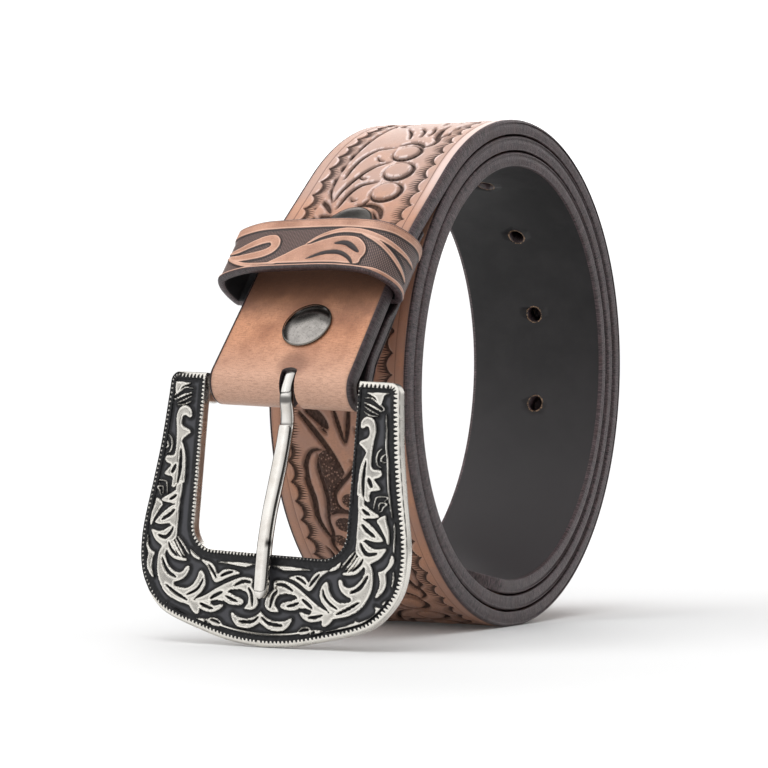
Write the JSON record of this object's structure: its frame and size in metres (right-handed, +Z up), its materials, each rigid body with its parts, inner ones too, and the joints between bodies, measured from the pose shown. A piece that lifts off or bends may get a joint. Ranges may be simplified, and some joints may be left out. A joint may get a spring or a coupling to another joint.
{
  "type": "western belt",
  "caption": "Tooled tan leather western belt, coiled and standing, with a leather keeper, snap caps and a scrolled antique silver buckle.",
  "frame": {"origin": "middle of the flat where the coil rests on the surface below it", "axes": "+Z up, X along the belt's length as it stands with the buckle toward -X, Y along the coil's axis"},
  "size_m": [0.1457, 0.0714, 0.1249],
  "materials": {
    "tooled_leather": "satin",
    "keeper_leather": "satin",
    "antique_silver": "antique",
    "bright_silver": "polished"
  },
  "bodies": {
    "root": {"strap": "tooled_leather", "keeper": "keeper_leather", "snap_cap_lower": "antique_silver", "snap_cap_upper": "antique_silver", "snap_stud_lower": "antique_silver", "snap_stud_upper": "antique_silver"},
    "buckle": {"buckle_frame": "antique_silver", "buckle_bar": "bright_silver"},
    "prong": {"buckle_prong": "bright_silver"}
  },
  "joints": [
    {"name": "buckle_swing", "type": "hinge", "parent": "root", "child": "buckle", "pos_m": [-0.075, 0, 0.0593], "axis": [0, 0.999, 0.0448], "range_deg": [-30, 70]},
    {"name": "prong_swing", "type": "hinge", "parent": "buckle", "child": "prong", "pos_m": [-0.075, 0, 0.0593], "axis": [0, 0.999, 0.0448], "range_deg": [0, 80]}
  ]
}
